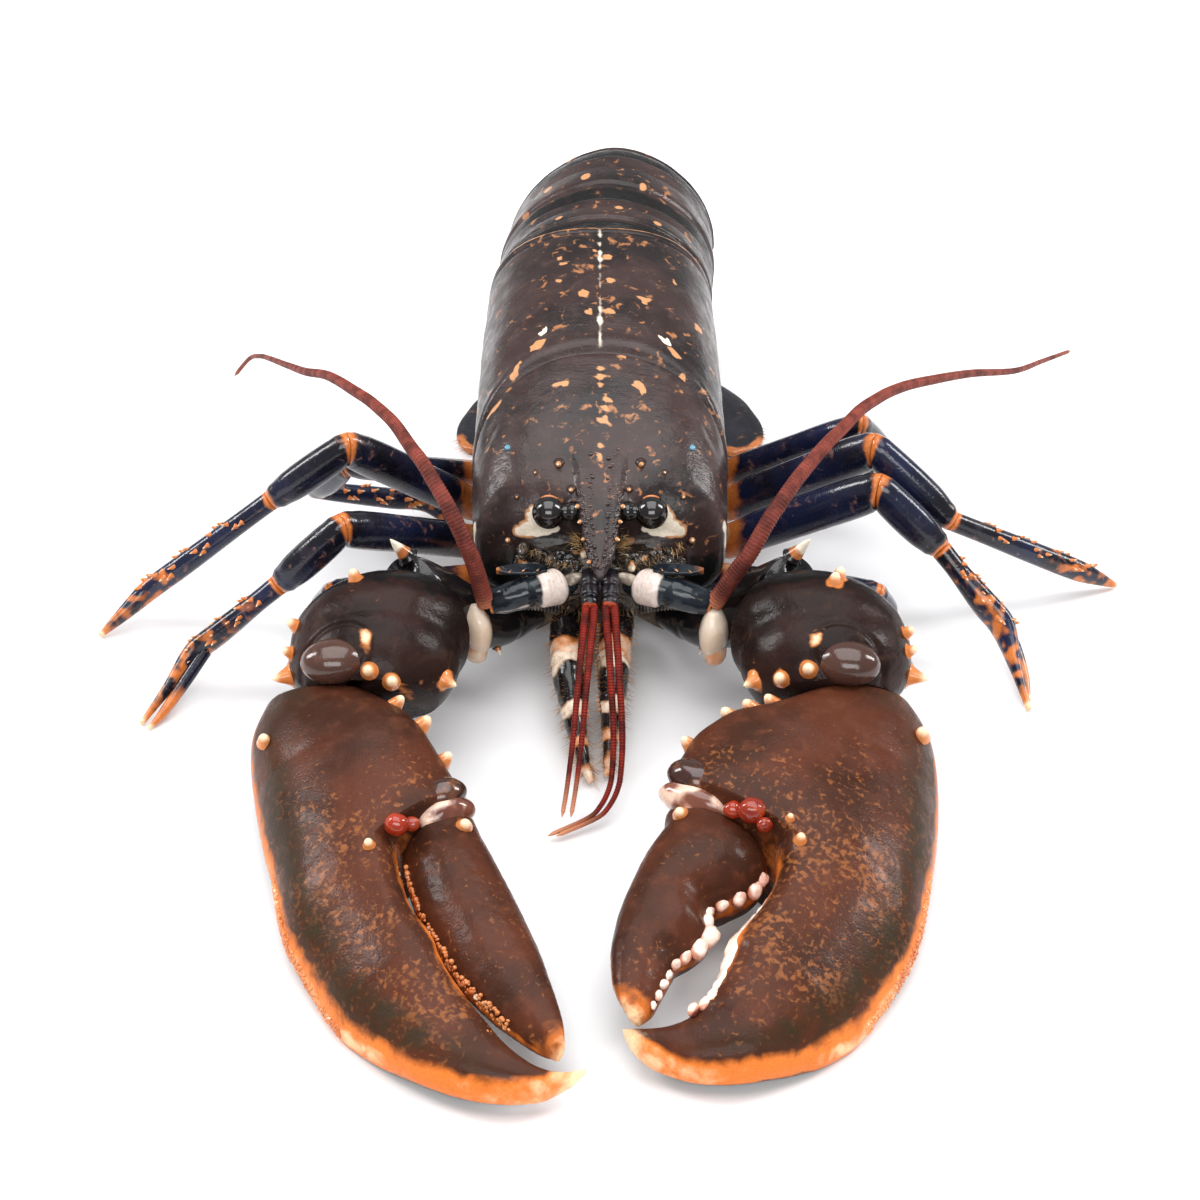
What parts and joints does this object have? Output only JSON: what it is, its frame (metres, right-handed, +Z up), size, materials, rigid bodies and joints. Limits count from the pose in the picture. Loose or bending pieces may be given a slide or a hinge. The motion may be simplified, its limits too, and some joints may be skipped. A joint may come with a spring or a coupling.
{
  "type": "european lobster",
  "caption": "Life-size European lobster at rest on the floor: heavy claws reaching forward, legs spread, feelers swept back and tail curled under.",
  "frame": {"origin": "centre of the footprint, on the floor that the animal rests on", "axes": "+Z up, the animal faces -Y, +X to its own left"},
  "size_m": [0.2486, 0.3066, 0.062],
  "materials": {
    "shell": "wet gloss, dark purplish brown shell with small pale orange flecks",
    "claw": "wet gloss, chestnut brown shell with orange flecks, rim and tips",
    "leg": "wet gloss, blue-black shell with orange joints and feet",
    "feeler": "satin, finely ringed reddish brown",
    "feeler_red": "satin, finely ringed brick red",
    "eye": "high gloss black",
    "mouth": "satin, dark olive brown",
    "mouth_leg": "wet gloss, banded black, cream and orange"
  },
  "bodies": {
    "root": {"carapace": "shell", "thorax": "mouth", "head": "mouth", "eye_r": "eye", "eye_l": "eye", "eyestalk_r": "shell", "eyestalk_l": "shell", "tail_1": "shell", "tail_2": "shell", "tail_3": "shell", "tail_4": "shell", "tail_5": "shell", "tail_6": "shell", "telson": "shell", "fan_inner_r": "shell", "fan_outer_r": "shell", "fan_inner_l": "shell", "fan_outer_l": "shell", "leg_first_r_thigh": "leg", "leg_first_r_shin": "leg", "leg_first_r_foot": "leg", "leg_second_r_thigh": "leg", "leg_second_r_shin": "leg", "leg_second_r_foot": "leg", "leg_third_r_thigh": "leg", "leg_third_r_shin": "leg", "leg_third_r_foot": "leg", "leg_fourth_r_thigh": "leg", "leg_fourth_r_shin": "leg", "leg_fourth_r_foot": "leg", "leg_first_l_thigh": "leg", "leg_first_l_shin": "leg", "leg_first_l_foot": "leg", "leg_second_l_thigh": "leg", "leg_second_l_shin": "leg", "leg_second_l_foot": "leg", "leg_third_l_thigh": "leg", "leg_third_l_shin": "leg", "leg_third_l_foot": "leg", "leg_fourth_l_thigh": "leg", "leg_fourth_l_shin": "leg", "leg_fourth_l_foot": "leg", "arm_r": "claw", "wrist_r": "claw", "claw_r": "claw", "claw_finger_r": "claw", "arm_l": "claw", "wrist_l": "claw", "claw_l": "claw", "claw_finger_l": "claw", "feeler_base_r": "shell", "feeler_r": "feeler", "small_feeler_r": "feeler_red", "feeler_base_l": "shell", "feeler_l": "feeler", "small_feeler_l": "feeler_red", "mouth_leg_r": "mouth_leg", "mouth_leg_l": "mouth_leg"}
  },
  "joints": []
}
